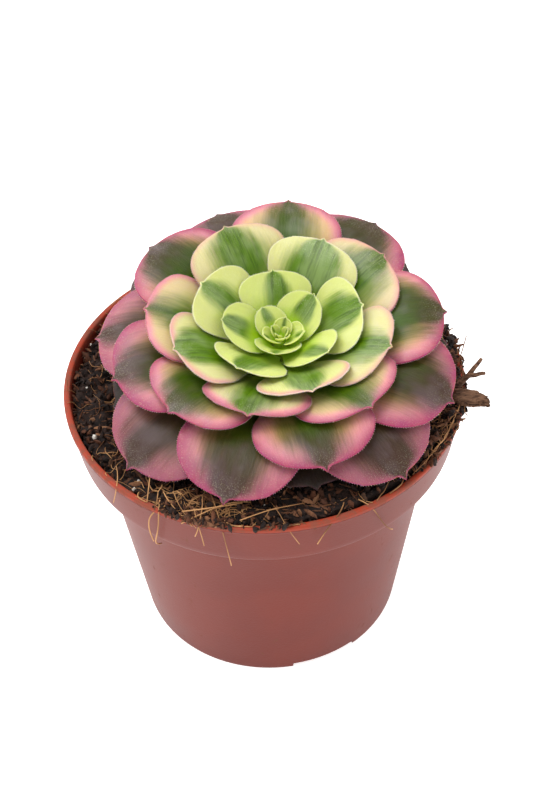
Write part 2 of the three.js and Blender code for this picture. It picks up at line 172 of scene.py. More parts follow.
class Finish:    # one material, written as expressions on its fields
    def __init__(self, name, tones={}, **constants):
        self.tones = tones    # screen colours by name
        self.material = bpy.data.materials.new(name)
        self.material.use_nodes = True
        self.tree = self.material.node_tree
        self.shader = self.tree.nodes["Principled BSDF"]
        for socket, value in constants.items():
            self.shader.inputs[socket.replace("_", " ")].default_value = value

    def plug(self, socket, value):
        if isinstance(value, Field):
            self.tree.links.new(value.socket, socket)
        else:
            socket.default_value = value

    def node(self, kind, settings, sockets, output=0):
        made = self.tree.nodes.new(kind)
        for name, value in settings.items():
            setattr(made, name, value)
        for name, value in sockets.items():
            self.plug(made.inputs[name], value)
        return Field(self, made.outputs[output])

    def parts(self, vector):
        return [self.node("ShaderNodeSeparateXYZ", {}, {0: vector}, output) for output in range(3)]

    def layer(self, name):    # the three numbers that a piece keeps under this name
        return self.parts(self.node("ShaderNodeAttribute", {"attribute_name": name}, {}, 1))

    def vector(self, x, y, z):
        return self.node("ShaderNodeCombineXYZ", {}, {0: x, 1: y, 2: z})

    def objectPlace(self):
        return self.node("ShaderNodeTexCoord", {}, {}, 3)

    def grain(self, spot, scale, detail=2, roughness=0.5):
        sockets = {"Vector": spot, "Scale": scale, "Detail": detail, "Roughness": roughness}
        return self.node("ShaderNodeTexNoise", {}, sockets)

    def cells(self, spot, scale):
        return self.node("ShaderNodeTexVoronoi", {}, {"Vector": spot, "Scale": scale})

    def fade(self, value, start, end, low=0, high=1):
        sockets = {"Value": value, "From Min": start, "From Max": end, "To Min": low, "To Max": high}
        return self.node("ShaderNodeMapRange", {"interpolation_type": "SMOOTHSTEP"}, sockets)

    def mix(self, share, first, second):    # fields, screen colours or the names of tones
        first, second = [tone if isinstance(tone, Field) else screen(*self.tones.get(tone, tone))
                         for tone in (first, second)]
        return self.node("ShaderNodeMix", {"data_type": "RGBA"}, {0: share, 6: first, 7: second}, 2)

    def wear(self, colour, roughness=None, height=None, depth=0.1):    # depth in millimetres
        self.plug(self.shader.inputs["Base Color"], colour)
        if roughness is not None:
            self.plug(self.shader.inputs["Roughness"], roughness)
        if height is not None:
            sockets = {"Height": height, "Strength": 1, "Distance": depth * mm}
            self.plug(self.shader.inputs["Normal"], self.node("ShaderNodeBump", {}, sockets))
        return self.material


# camera

view = {"distance": 340, "elevation": 43.8, "roll": 2.1, "lens": 72.2, "lookAside": 0.5, "lookBelow": 4.7}


def makeCamera():
    rimCentre = potAxis + Vector((0, 0, potHigh.z))
    tilt = radians(view["elevation"])
    roll = radians(view["roll"])
    back = Vector((0, -cos(tilt), sin(tilt)))
    level = Vector((1, 0, 0))
    upward = back.cross(level)
    aside = level * cos(roll) - upward * sin(roll)
    above = level * sin(roll) + upward * cos(roll)
    spot = rimCentre + back * view["distance"] * mm
    target = rimCentre + (aside * view["lookAside"] - above * view["lookBelow"]) * mm
    back = (spot - target).normalized()
    aside = above.cross(back).normalized()
    above = back.cross(aside)
    lens = bpy.data.cameras.new("camera")
    lens.lens = view["lens"]
    lens.clip_start = 0.01
    lens.clip_end = 20
    camera = addObject("camera", lens)
    camera.matrix_world = Matrix.Translation(spot) @ Matrix((aside, above, back)).transposed().to_4x4()
    bpy.context.scene.camera = camera


makeCamera()
print("camera in place")


# the rosette's rules: every leaf lies on its own bowl round the stem, and the bowls are nested

rosette = {
    "centre": (3.7, -0.25, 74.5),    # over the pot's axis
    "lean": 9.3,    # towards -Y
    "leaves": 38, "fallen": 28, "firstAzimuth": 122.3, "divergence": 138.06, "widestLeaf": 26,
    "longestReach": 60, "reachAge": 29.7, "ageOffset": 3.41,
    "oldestReach": 40.5, "witheringAge": 30, "witheringShrink": 0.4,
    "dome": (-0.83, 0.676, -0.00456, -0.000342),    # height as a polynomial of the radius
    "layerAtStem": 0.52, "layerWhereSteep": 0.64, "layerOutside": 0.5,
    "steepFrom": (2, 9), "outsideFrom": (14, 28),
}

# how single leaves stray from the spiral: turn, reach, lift and breadth
strays = {
    0: (0.5, 0.3, 0, 1.08), 1: (-1.5, -0.6, 0.8, 1.2), 2: (4.5, 0, 0.8, 1.02), 3: (0.5, 0.5),
    4: (1, 0, 0.3, 0.88), 5: (2, -1, -0.3), 6: (3.5, -0.6), 7: (-1, -0.4, -0.2, 1.06), 8: (3, -0.4),
    9: (1, 0.4, -0.1), 10: (0, 0.2, 0.2), 11: (0, 0.3), 12: (-1.5, -0.3, -0.3), 13: (-2.5, 1, 0.5),
    14: (-1.5, -0.8), 15: (2, -0.2), 16: (1.5, -0.6, 0.3), 17: (-2.5, -1), 18: (-2.5, 2.2, 1),
    19: (-2, -0.3, -0.2), 20: (0, 1.8), 21: (-1.5, 2, 0.8), 22: (3, 1.4, -0.3), 23: (-4.5, 1, 0.2),
    24: (1, 0), 25: (-1.5, 1.7, -0.2), 26: (-2, 0), 27: (2, 2.2, -0.4), 29: (8, -0.8, -0.8),
    30: (1, 0.4), 32: (0.5, 2.4, -0.3), 33: (1, -4.5, -1), 35: (5, -2.5, 0.5), 37: (8, -0.8, -0.6),
}

blade = {
    # values of the youngest leaf and of the older ones, and the ages between which they change
    "widestAt": (0.55, 0.68), "endPower": (1.9, 2.1), "footShare": (1.25, 0.42), "footPower": (0.45, 1),
    "tipLength": (0.14, 0.1), "outlineAges": (0, 10), "flatness": (0.5, 0.7), "primeAges": (3, 14),
    "tipShare": 0.3, "tipPower": 1.1, "roundEndAt": 0.965, "narrowest": 0.06,
    "restingFlatness": 0.4,    # on the side that rests on the leaf three places older
    "bendAges": 5, "tightestBend": 3,    # the youngest are bent round the bud
    "droop": 0.35,    # of the margins
    "uneven": 0.016, "pleats": (0.14, 0.06), "waves": 0.16, "crease": 0.16,
    "marginThickness": (0.26, 0.45), "baseThickness": 0.85, "bodyThickness": 1.25,
    "edgeRadius": 0.2,    # the margin is rounded by this
    "rows": 64, "columns": 36,
    "teeth": (0.3, 0.985),    # where they start and end along the leaf
    "toothTries": 700, "toothStep": 0.5, "toothLength": 0.3, "toothWidth": 0.14,
}

stem = {"baseRadius": 1.8, "radiusPerLeaf": 0.09, "gap": 0.65, "depth": 21, "scar": 0.16, "rings": 60,
        "turns": 40}

rosettePlace = (
    Matrix.Translation(axis + Vector(rosette["centre"]))
    @ Matrix.Rotation(radians(rosette["lean"]), 4, "X")
)
toMetres = Matrix.Scale(mm, 4)


def reachAt(age):
    return rosette["longestReach"] * (1 - exp(-(age + rosette["ageOffset"]) / rosette["reachAge"]))


def ageAt(radius):
    return -rosette["reachAge"] * log(1 - radius / rosette["longestReach"]) - rosette["ageOffset"]


def domeHeight(radius):
    return sum(factor * radius ** power for power, factor in enumerate(rosette["dome"]))


def bowlHeight(age, radius):
    steeper = ease(radius, *rosette["steepFrom"])
    steep = lerp(rosette["layerAtStem"], rosette["layerWhereSteep"], steeper)
    layer = lerp(steep, rosette["layerOutside"], ease(radius, *rosette["outsideFrom"]))
    return domeHeight(radius) - layer * (age - ageAt(radius))


def attachRadius(age):
    return stem["baseRadius"] + stem["radiusPerLeaf"] * age


def leafOf(age):
    stray = strays.get(age, ())
    turn, reach, lift, breadth = stray + (0, 0, 0, 1)[len(stray):]
    withered = max(0, age - rosette["witheringAge"])
    full = rosette["oldestReach"] - rosette["witheringShrink"] * withered if withered else reachAt(age)
    prime = ease(age, *blade["primeAges"])
    outlined = ease(age, *blade["outlineAges"])
    return {"age": age, "reach": full + reach, "base": attachRadius(age), "lift": lift,
            "width": breadth * rosette["widestLeaf"] * (1 - exp(-(age + 3) / 9)),
            "azimuth": rosette["firstAzimuth"] + rosette["divergence"] * age + turn,
            "flatness": lerp(*blade["flatness"], prime),
            "droop": blade["droop"] * prime,
            "bend": 1 - ease(age, 0, blade["bendAges"]),
            **{rule: lerp(*blade[rule], outlined)
               for rule in ("widestAt", "endPower", "footShare", "footPower", "tipLength")}}


def halfWidth(leaf, along):
    if along < leaf["widestAt"]:
        rise = (0.5 - 0.5 * cos(pi * along / leaf["widestAt"])) ** leaf["footPower"]
        foot = 2 * leaf["footShare"] * leaf["base"] / leaf["width"]
        share = foot + (1 - foot) * rise
    else:
        end = min(1, (along - leaf["widestAt"]) / (blade["roundEndAt"] - leaf["widestAt"]))
        share = (1 - end ** leaf["endPower"]) ** (1 / leaf["endPower"])
    pointed = 0
    if along > 1 - leaf["tipLength"]:
        pointed = blade["tipShare"] * ((1 - along) / leaf["tipLength"]) ** blade["tipPower"]
    blended = (share ** 3 + pointed ** 3) ** (1 / 3)
    return max(blade["narrowest"], 0.5 * leaf["width"] * blended)


def flatPoint(leaf, along, across):
    return Vector((lerp(leaf["base"], leaf["reach"], along), across * halfWidth(leaf, along), 0))


# the blade's middle surface in the leaf's own frame, with its soft pleats and uneven margin
def bladePoint(leaf, along, across):
    age = leaf["age"]
    reach, y, _ = flatPoint(leaf, along, across)
    rim = copysign(1, across)
    y *= 1 + blade["uneven"] * wobble(7 * along, 5 * rim, 3.7 * age) * ease(along, 0.3, 0.5)
    free = ease(along, 0.15, 0.6) * (1 - ease(along, 0.9, 1))
    broad, fine = blade["pleats"]
    pleats = broad * wobble(0.4 * y, 0.05 * reach, 1.9 * age)
    pleats += fine * wobble(1.5 * y, 0.12 * reach, 5.1 * age)
    waves = (blade["waves"] * wobble(0.16 * reach, 4 * rim, 2.3 * age) - leaf["droop"]) * across ** 4
    crease = blade["crease"] * exp(-((y / 0.9) ** 2)) * ease(along, 0.45, 0.9)
    x = reach
    if leaf["bend"] > 0:
        radius = max(reach, blade["tightestBend"]) / leaf["bend"]
        x -= radius * (1 - cos(y / radius))
        y = radius * sin(y / radius)
    flatness = leaf["flatness"] * (blade["restingFlatness"] if across > 0 else 1)
    z = bowlHeight(age, lerp(hypot(x, y), reach, flatness)) + leaf["lift"] * along * along
    return Vector((x, y, z + free * (pleats + waves) - crease))


def thicknessAt(age, along, edge):
    body = lerp(blade["baseThickness"], blade["bodyThickness"], ease(age, -2, 12))
    ridge = lerp(blade["baseThickness"], body, sin(pi * along))
    margin = lerp(*blade["marginThickness"], ease(age, 0, 20))
    full = lerp(margin, ridge, ease(edge, 0.2, 5))
    if edge < blade["edgeRadius"]:
        full *= sqrt(max(0.01, 1 - (1 - edge / blade["edgeRadius"]) ** 2))
    return full


def evenStations(flatAt, count):    # shares of the length that are evenly spaced along the margin
    fine = 800
    lengths = [0.0]
    for step in range(1, fine + 1):
        lengths.append(lengths[-1] + (flatAt(step / fine, 1) - flatAt((step - 1) / fine, 1)).length)
    stations = []
    for step in range(count + 1):
        wanted = lengths[-1] * step / count
        found = min(fine, max(1, bisect_left(lengths, wanted)))
        part = (wanted - lengths[found - 1]) / (lengths[found] - lengths[found - 1])
        stations.append((found - 1 + part) / fine)
    return stations


# A blade is a grid laid on its middle surface and given thickness. Its finish reads three layers:
# form (share of the length, share of the half width, distance from the margin), flat (place on the
# blade and how pink it is) and look (age, half width of the green stripe, seed).
bladeLayers = ("form", "flat", "look")


def makeBlade(name, rows, columns, flatAt, pointAt, toPart, looks, pink):
    piece = primitive(name, "grid", x_subdivisions=columns, y_subdivisions=rows, size=2)
    mesh = piece.data
    stations = evenStations(flatAt, rows)
    margin = kdtree.KDTree(4 * rows + 2)
    for step in range(2 * rows + 1):
        along = lerp(stations[step // 2], stations[min(rows, step // 2 + 1)], 0.5 * (step % 2))
        margin.insert(flatAt(along, -1), 2 * step)
        margin.insert(flatAt(along, 1), 2 * step + 1)
    margin.balance()
    form, flat, look = [mesh.attributes.new(layer, "FLOAT_VECTOR", "POINT") for layer in bladeLayers]
    thicknesses = []
    for vertex in mesh.vertices:
        along = stations[round((vertex.co.y + 1) / 2 * rows)]
        across = sin(0.5 * pi * vertex.co.x)
        spot = flatAt(along, across)
        edge = 0 if abs(across) > 0.999 else margin.find(spot)[2]
        form.data[vertex.index].vector = (along, across, edge)
        flat.data[vertex.index].vector = (spot.x, spot.y, pink)
        look.data[vertex.index].vector = looks
        thicknesses.append(thicknessAt(looks[0], along, edge))
        vertex.co = toPart @ pointAt(along, across)
    group = piece.vertex_groups.new(name="thickness")
    thickest = blade["bodyThickness"]
    for index, thickness in enumerate(thicknesses):
        group.add([index], thickness / thickest, "REPLACE")
    wall = piece.modifiers.new("wall", "SOLIDIFY")
    wall.thickness = thickest * mm
    wall.offset = 0
    wall.vertex_group = group.name
    applyAll(piece)
    piece.vertex_groups.clear()
    return piece


# the margin's row of tiny pale teeth
def addTeeth(piece, leaf, toPart, looks, pink):
    shape = bmesh.new()
    shape.from_mesh(piece.data)
    form, flat, look = [shape.verts.layers.float_vector[layer] for layer in bladeLayers]
    chance = random.Random(1000 + leaf["age"])
    for side in (-1, 1):
        travelled = 0
        last = bladePoint(leaf, blade["teeth"][0], side)
        for step in range(1, blade["toothTries"]):
            along = lerp(*blade["teeth"], step / blade["toothTries"])
            spot = bladePoint(leaf, along, side)
            travelled += (spot - last).length
            forward = (spot - last).normalized()
            last = spot
            if travelled < blade["toothStep"] * chance.uniform(0.8, 1.2):
                continue
            travelled = 0
            inwards = bladePoint(leaf, along, 0.92 * side) - spot
            outward = -(inwards - forward * inwards.dot(forward)).normalized()
            lean = (outward + 0.45 * forward).normalized()
            length = blade["toothLength"] * chance.uniform(0.7, 1.25)
            turn = lean.to_track_quat("Z", "Y").to_matrix().to_4x4()
            where = Matrix.Translation(spot + lean * (0.5 * length - 0.1))
            made = bmesh.ops.create_cone(shape, cap_ends=True, segments=3, radius1=blade["toothWidth"],
                                         radius2=0.01, depth=length, matrix=toPart @ where @ turn)
            for vertex in made["verts"]:
                vertex[form] = Vector((along, side, -1))
                vertex[flat] = flatPoint(leaf, along, side) + Vector((0, 0, pink))
                vertex[look] = looks
    shape.to_mesh(piece.data)
    shape.free()


stripes = {    # half width of each leaf's green middle, as a share
    0: 0.28, 1: 0.2, 2: 0.45, 3: 0.42, 4: 0.36, 5: 0.34, 6: 0.4, 7: 0.5, 8: 0.34, 9: 0.42, 10: 0.6,
    11: 0.5, 12: 0.42, 13: 0.52, 14: 0.46, 15: 0.58, 16: 0.34, 17: 0.42, 18: 0.46, 19: 0.55, 20: 0.62,
    21: 0.66, 22: 0.5, 23: 0.74, 24: 0.56, 25: 0.62, 26: 0.62, 27: 0.6, 29: 0.4, 30: 0.64, 32: 0.56,
}
# how pink each leaf's margin is; the older ones are as pink as can be
pinks = {6: 0.15, 7: 0.08, 8: 0.12, 9: 0.4, 10: 0.08, 11: 0.4, 12: 0.35, 13: 0.3, 14: 0.7, 15: 0.35,
         16: 0.5, 17: 0.8, 18: 0.75, 19: 0.85}


def makeLeaf(age, finish):
    leaf = leafOf(age)
    toPart = toMetres @ rosettePlace @ Matrix.Rotation(radians(leaf["azimuth"]), 4, "Z")
    looks = Vector((age, stripes.get(age, 0.8), random.Random(age).uniform(0, 50)))
    pink = pinks.get(age, float(age > 19))
    piece = makeBlade("aeoniumLeaf%02d" % (age + 1), blade["rows"], blade["columns"],
                      partial(flatPoint, leaf), partial(bladePoint, leaf), toPart, looks, pink)
    addTeeth(piece, leaf, toPart, looks, pink)
    piece.data.shade_smooth()
    place(piece, ["leaf_%02d" % (age + 1)], finish)


# finish of the leaves: cream and lime blade, green stripe with darker streaks and a pale grey-green that is
# partly painted sheen, margin that turns from cream to magenta as a leaf ages, and a dusky tint with umber
# middles that are partly painted shade and pale bloom that is partly painted sheen on the oldest
leafTones = {
    "lime": (162, 202, 8), "deepLime": (84, 124, 4), "youngCream": (198, 208, 116),
    "cream": (208, 198, 146), "dusky": (206, 150, 112), "rose": (212, 138, 146),
    "magenta": (152, 34, 88), "margin": (240, 240, 200), "leafGreen": (88, 124, 0),
    "greyGreenAndSheen": (124, 148, 76), "deepGreen": (42, 70, 0), "mossGreen": (58, 92, 0),
    "olive": (58, 56, 8), "plum": (70, 46, 38), "mauve": (150, 92, 102), "umberAndShade": (62, 38, 26),
    "withered": (34, 24, 16), "bloomAndSheen": (170, 160, 172),
}


def leafFinish():
    skin = Finish("aeoniumSkin", leafTones, Subsurface_Weight=0.6, Subsurface_Radius=(1.1, 1.2, 0.3),
                  Subsurface_Scale=mm, IOR=1.4, Specular_IOR_Level=0.35, Coat_Roughness=0.3)
    fade, mix, grain = skin.fade, skin.mix, skin.grain
    along, across, edge = skin.layer("form")
    x, y, pinkness = skin.layer("flat")
    age, stripe, seed = skin.layer("look")
    clouds = grain(skin.vector(x * 0.16, y * 0.16, seed), 1, 2)
    drift = grain(skin.vector(x * 0.09, seed, 0), 1, 1)
    streaks = grain(skin.vector(x * 0.1, y * 0.4, seed), 1, 3)
    fineStreaks = grain(skin.vector(x * 0.12, y * 2.6, seed), 1, 2)
    specks = grain(skin.vector(x * 5, y * 5, seed), 1, 2, 0.7)
    side = abs(across + 0.5 * (drift - 0.5))
    wrinkles = grain(skin.vector(x * 0.25, y * 0.9, seed), 1, 3, 0.6)
    old = fade(age, 12, 23)

    # pale ground, lime at the foot and cream towards the margin
    lime = mix(old, "lime", "deepLime")
    cream = mix(fade(age, 4, 15), "youngCream", "cream")
    cream = mix(old, cream, "dusky")
    outward = fade(edge, 6, 0.8)
    upward = fade(along + 0.2 * (clouds - 0.5), 0.15, 0.72)
    creamFrom = fade(age, 0, 9, 0.35, 0.15)
    ground = mix(fade(outward * 0.45 + upward * 0.8, creamFrom, 1.1), lime, cream)

    # pink that comes in from the margin
    reach = 0.9 + 2.6 * pinkness + fade(age, 16, 29, 0, 5.5)
    inwards = skin.node("ShaderNodeMath", {"operation": "DIVIDE", "use_clamp": True}, {0: edge, 1: reach})
    spread = fade(along + 0.25 * (clouds - 0.5), 0.25, 0.75)
    blush = fade(pinkness, 0, 0.7) * spread * (1 - inwards)
    blush = blush + 0.3 * (specks - 0.5) * blush + 0.7 * (clouds - 0.5) * blush
    ground = mix(fade(blush, 0.02, 0.7), ground, "rose")
    ground = mix(fade(blush, 0.45, 1.08) * pinkness, ground, "magenta")

    # green middle that runs out over the tip
    ragged = side + fade(age, 4, 14, 0.16, 0.4) * (streaks - 0.5) + 0.18 * (fineStreaks - 0.5)
    nearTip = fade(along, 0.78, 0.96)
    clearOfMargin = fade(edge + 3 * fade(abs(y), 2.6, 0.5) + 1.4 * nearTip, 0.3, 2.6)
    soft = fade(age, 6, 20, 0.16, 0.34)
    middle = fade(ragged - stripe, soft, -1 * soft) * clearOfMargin
    middle = middle * fade(along + 0.2 * (clouds - 0.5), fade(age, 3, 14, 0.28, 0), 0.6)
    # a pale grey-green over parts of the stripe: partly the leaf's own tint, partly painted sheen
    greyedAndSheen = fade(clouds + 0.3 * (streaks - 0.5) + 0.3 * (along - 0.7), 0.4, 0.62)
    youngGreen = mix(0.85 * greyedAndSheen, "leafGreen", "greyGreenAndSheen")
    dark = fade(0.5 * fineStreaks + 0.5 * wrinkles, 0.42, 0.66) * fade(along, 0.3, 0.85, 0.2, 0.65)
    youngGreen = mix(dark, youngGreen, "deepGreen")
    browned = along + 0.35 * (clouds - 0.5) + fade(age, 14, 30, -0.2, 0.02)
    oldGreen = mix(fade(browned, 0.42, 0.72), "mossGreen", "olive")
    oldGreen = mix(fade(browned + 0.3 * (streaks - 0.5), 0.62, 0.92), oldGreen, "plum")
    oldGreen = mix(0.5 * dark * fade(browned, 0.85, 0.6), oldGreen, "deepGreen")
    colour = mix(middle, ground, mix(fade(age, 10, 21), youngGreen, oldGreen))

    # dusky old leaves with middles darkened partly as painted shade, pale bloom towards the tip that is
    # partly painted sheen, and the line of the margin
    dusk = fade(age, 25, 31)
    # old middles go umber: partly their own brown, partly painted shade under the leaves above
    colour = mix(0.6 * dusk, colour, mix(middle, "mauve", "umberAndShade"))
    # pale bloom: partly the leaf's waxy bloom, partly painted sheen
    bloomAndSheen = fade(clouds + 0.25 * (wrinkles - 0.5), 0.45, 0.7) * fade(along, 0.55, 0.98)
    bloomAndSheen = bloomAndSheen * fade(age, 8, 26, 0.03, 0.1)
    colour = mix(bloomAndSheen, colour, "bloomAndSheen")
    colour = mix(0.22 * fade(specks, 0.52, 0.72) * fade(edge, 6, 0.5), colour, "margin")
    line = fade(edge, 0.3, 0.06) * fade(along, 0.1, 0.3) * fade(age, 2, 12, 0.15, 0.55)
    lineTone = mix(fade(age, 7, 16), "margin", "magenta")
    colour = mix(line, colour, lineTone)
    toothTone = mix(0.5 * fade(age, 10, 24), "margin", "rose")
    colour = mix(0.6 * fade(edge, -0.2, -0.8), colour, toothTone)
    # the lowest leaves go near-black: partly their withering, partly painted shade under the rosette
    colour = mix(fade(age, 31.5, 34.5, 0, 0.9), colour, "withered")
    waxy = fade(clouds, 0.42, 0.6) * fade(along, 0.3, 0.8)
    skin.plug(skin.shader.inputs["Coat Weight"], fade(age, 16, 27, 0.5, 0.12) * waxy)

    roughness = 0.32 + 0.2 * clouds + 0.08 * specks
    height = 0.4 * specks + 0.3 * fineStreaks + 2.2 * wrinkles * fade(along, 0.2, 0.6)
    return skin.wear(colour, roughness, height, 0.1)


leafSkin = leafFinish()
for age in range(rosette["leaves"]):
    if age != rosette["fallen"]:
        makeLeaf(age, leafSkin)
print("leaves made")


# heart: the youngest leaves are still a bud of small cups, one inside the next

heart = {"leaves": 7, "reach": 5.3, "shrink": 0.8, "spread": 64, "foot": 0.6, "base": -0.1,
         "tipHeight": 3.7, "innerTipHeight": 2.4, "drawnIn": 0.1, "stripe": 0.18, "rows": 26, "columns": 26}


def cupHalf(along):    # share of the full spread that the cup covers
    end = min(1, max(0, (along - 0.45) / 0.47))
    body = sqrt(1 - end ** 2.1) * min(1, 0.5 + along)
    tip = 0.42 * (max(0, 1 - along) / 0.22) ** 1.2 if along > 0.78 else 0
    return max(0.012, (body ** 3 + tip ** 3) ** (1 / 3))


def makeCup(order):
    share = heart["shrink"] ** (order - 1)
    reach = heart["reach"] * share
    tipHeight = lerp(heart["innerTipHeight"], heart["tipHeight"], share)
    turned = radians(rosette["firstAzimuth"] - rosette["divergence"] * order)
    spread = radians(heart["spread"])

    def flatAt(along, across):
        radius = lerp(heart["foot"], reach, along ** 0.8)
        return Vector((reach * along, radius * spread * cupHalf(along) * across, 0))

    def pointAt(along, across):
        radius = lerp(heart["foot"], reach, along ** 0.8) * (1 - heart["drawnIn"] * across * across)
        height = lerp(heart["base"], tipHeight, along ** 1.3) + 0.12 * wobble(3 * across, 2 * along, order)
        return Vector((*polar(radius, turned + spread * cupHalf(along) * across), height))

    looks = Vector((-order, heart["stripe"], 7 * order))
    return makeBlade("heartCup%d" % order, heart["rows"], heart["columns"], flatAt, pointAt,
                     toMetres @ rosettePlace, looks, 0)


def makeHeart(finish):
    cups = [makeCup(order) for order in range(1, heart["leaves"] + 1)]
    bud = cups[0]
    keepActive(bud)
    for cup in cups:
        cup.select_set(True)
    bpy.ops.object.join()
    bud.name = "heartBud"
    bud.data.shade_smooth()
    place(bud, ["heart"], finish)


makeHeart(leafSkin)
print("heart made")


# pot

pot = {"height": 63, "rim": 42.5, "collar": 40.5, "collarHeight": 11.75, "shoulder": 36.2,
       "shoulderDrop": 13.4, "foot": 29.4, "footWidth": 2.2, "lip": 1.3, "wall": 1.1, "underside": 1.6,
       "floor": 1.3, "turns": 144, "notches": 3, "notchAzimuth": 293, "notchWidth": 15, "notchHeight": 1.4,
       "drains": 6, "drainRadius": 3.2, "drainCircle": 19}
collarFoot = pot["height"] - pot["collarHeight"]
shoulder = pot["height"] - pot["shoulderDrop"]


def bodyRadius(z):
    return pot["foot"] + (pot["shoulder"] - pot["foot"]) * z / shoulder


def innerRadius(z):
    return between([(0, pot["foot"] - pot["wall"]), (shoulder, pot["shoulder"] - pot["wall"]),
                    (collarFoot, pot["collar"] - pot["wall"]), (pot["height"], pot["rim"] - pot["lip"])], z)


def roundedOutline(corners, steps=4):    # each corner is (radius, z, rounding)
    line = []
    for index, (radius, z, rounding) in enumerate(corners):
        here = Vector((radius, z))
        if not rounding:
            line.append(here)
            continue
        start, end = [here + (Vector(other[:2]) - here).normalized() * rounding
                      for other in (corners[index - 1], corners[(index + 1) % len(corners)])]
        for step in range(steps + 1):
            share = step / steps
            line.append(start.lerp(here, share).lerp(here.lerp(end, share), share))
    return line


# a solid turned from an outline of (radius, z) that starts and ends on the axis
def spun(name, line, turns):
    piece = primitive(name, "plane", size=1)
    outline = bmesh.new()
    dots = [outline.verts.new((radius * mm, 0, z * mm)) for radius, z in line]
    for first, second in zip(dots, dots[1:]):
        outline.edges.new((first, second))
    outline.to_mesh(piece.data)
    outline.free()
    switchTo("EDIT")
    bpy.ops.mesh.select_all(action="SELECT")
    bpy.ops.mesh.spin(steps=turns, angle=2 * pi, center=(0, 0, 0), axis=(0, 0, 1))
    closeSeams(piece, 0.00001)
    return piece


def carve(piece, cutters):
    for cutter in cutters:
        hole = piece.modifiers.new("hole", "BOOLEAN")
        hole.operation = "DIFFERENCE"
        hole.solver = "EXACT"
        hole.object = cutter
    applyAll(piece)
    for cutter in cutters:
        bpy.data.objects.remove(cutter, do_unlink=True)


def makePot(finish):
    top = pot["height"]
    ring = pot["foot"] - pot["footWidth"]
    inside = pot["underside"] + pot["floor"]
    line = roundedOutline([
        (0, pot["underside"], 0), (ring, pot["underside"], 0.2), (ring, 0, 0.3), (pot["foot"], 0, 0.5),
        *[(bodyRadius(z), z, 0) for z in (1.6, 2.2, 3.2, 8, 20, 34)],
        (pot["shoulder"], shoulder, 0.7), (pot["collar"] - 0.1, collarFoot, 0.9),
        (pot["collar"] + 0.35, collarFoot + 2, 0), (pot["rim"] - 0.35, top - 1.5, 0.5),
        (pot["rim"], top - 1.1, 0.3), (pot["rim"], top, 0.5),
        (pot["rim"] - pot["lip"], top, 0.45), (innerRadius(collarFoot), collarFoot, 0.8),
        (innerRadius(shoulder), shoulder, 0.8), (innerRadius(inside), inside, 0.8), (0, inside, 0)])
    shell = spun("potShell", line, pot["turns"])
    cutters = []
    for turn in range(pot["notches"]):
        azimuth = radians(pot["notchAzimuth"] + 360 / pot["notches"] * turn)
        x, y = polar((pot["foot"] - 0.5 * pot["footWidth"]) * mm, azimuth)
        cutters.append(primitive(
            "footNotch", "cube", size=1, location=(x, y, 0), rotation=(0, 0, azimuth),
            scale=(2.5 * pot["footWidth"] * mm, pot["notchWidth"] * mm, 2 * pot["notchHeight"] * mm)))
    for turn in range(pot["drains"]):
        azimuth = radians(pot["notchAzimuth"] + 360 / pot["drains"] * turn)
        x, y = polar(pot["drainCircle"] * mm, azimuth)
        cutters.append(primitive("drainHole", "cylinder", vertices=32, radius=pot["drainRadius"] * mm,
                                 depth=6 * mm, location=(x, y, 2 * mm)))
    carve(shell, cutters)
    shell.data.transform(Matrix.Translation(potAxis))
    keepActive(shell)
    bpy.ops.object.shade_smooth_by_angle(angle=radians(35))
    place(shell, ["pot"], finish)


def potFinish():
    plastic = Finish("potPlastic", IOR=1.45, Specular_IOR_Level=0.22)
    spot = plastic.objectPlace()
    x, y, z = plastic.parts(spot)
    broad = plastic.grain(spot, 60, 3)
    fine = plastic.grain(spot, 2200, 2)
    dust = plastic.grain(plastic.vector(x, y, 0.5 * z), 420, 4, 0.7)
    body = plastic.mix(plastic.fade(broad, 0.35, 0.65), (106, 37, 25), (112, 41, 28))
    lip = plastic.fade(z, (pot["height"] - 1.6) * mm, (pot["height"] - 0.3) * mm)
    colour = plastic.mix(0.8 * lip, body, (164, 62, 38))
    soiled = plastic.fade(dust + 0.18 * lip, 0.62, 0.74)
    colour = plastic.mix(0.55 * soiled, colour, (112, 76, 62))
    roughness = 0.38 + 0.12 * broad + 0.3 * soiled
    return plastic.wear(colour, roughness, fine + 0.4 * broad, 0.03)


makePot(potFinish())
print("pot made")


# soil, its crumbs, perlite and fibres

soil = {"gap": 0.3, "drop": 2.8, "heap": 3.4, "heapAzimuth": -18, "hollow": 3.2, "leafClearance": 0.45,
        "edgeRise": 3, "floor": 3.2, "around": 240, "rings": 110, "topShare": 0.86}
upright = rosettePlace.inverted()


def leafCeiling(x, y):    # x and y from the pot's axis
    z = pot["height"]
    for _ in range(4):
        local = upright @ (Vector((x, y, z)) + axis)
        radius = min(hypot(local.x, local.y), rosette["oldestReach"] + 2)
        pastOldest = ease(radius, 36.5, 39.5) * soil["edgeRise"]
        z += bowlHeight(rosette["leaves"] - 1, radius) + pastOldest - blade["bodyThickness"] - local.z
    return z


def soilHeight(x, y):
    radius = hypot(x, y)
    towardsHeap = cos(atan2(y, x) - radians(soil["heapAzimuth"]))
    heap = ease(towardsHeap, -0.6, 1) * ease(radius, 15, 40)
    hollow = 1 - ease(radius, 6, 32)
    height = pot["height"] - soil["drop"] + soil["heap"] * heap - soil["hollow"] * hollow
    height += 0.28 * sin(0.61 * x - 0.53 * y + 1.3) + 0.28 * sin(0.61 * x + 0.53 * y - 0.3)
    height += 0.33 * sin(1.27 * x - 0.9 * y + 0.5)
    return min(height, leafCeiling(x, y) - soil["leafClearance"])


# the soil is banked up against the wall, most of all where it spills over the rim
def banked(x, y):
    azimuth = degrees(atan2(y, x)) % 360
    spilling = ease(azimuth, 222, 244) * (1 - ease(azimuth, 262, 290))
    return ease(hypot(x, y), 31, 37) * (0.5 + 1.3 * spilling)


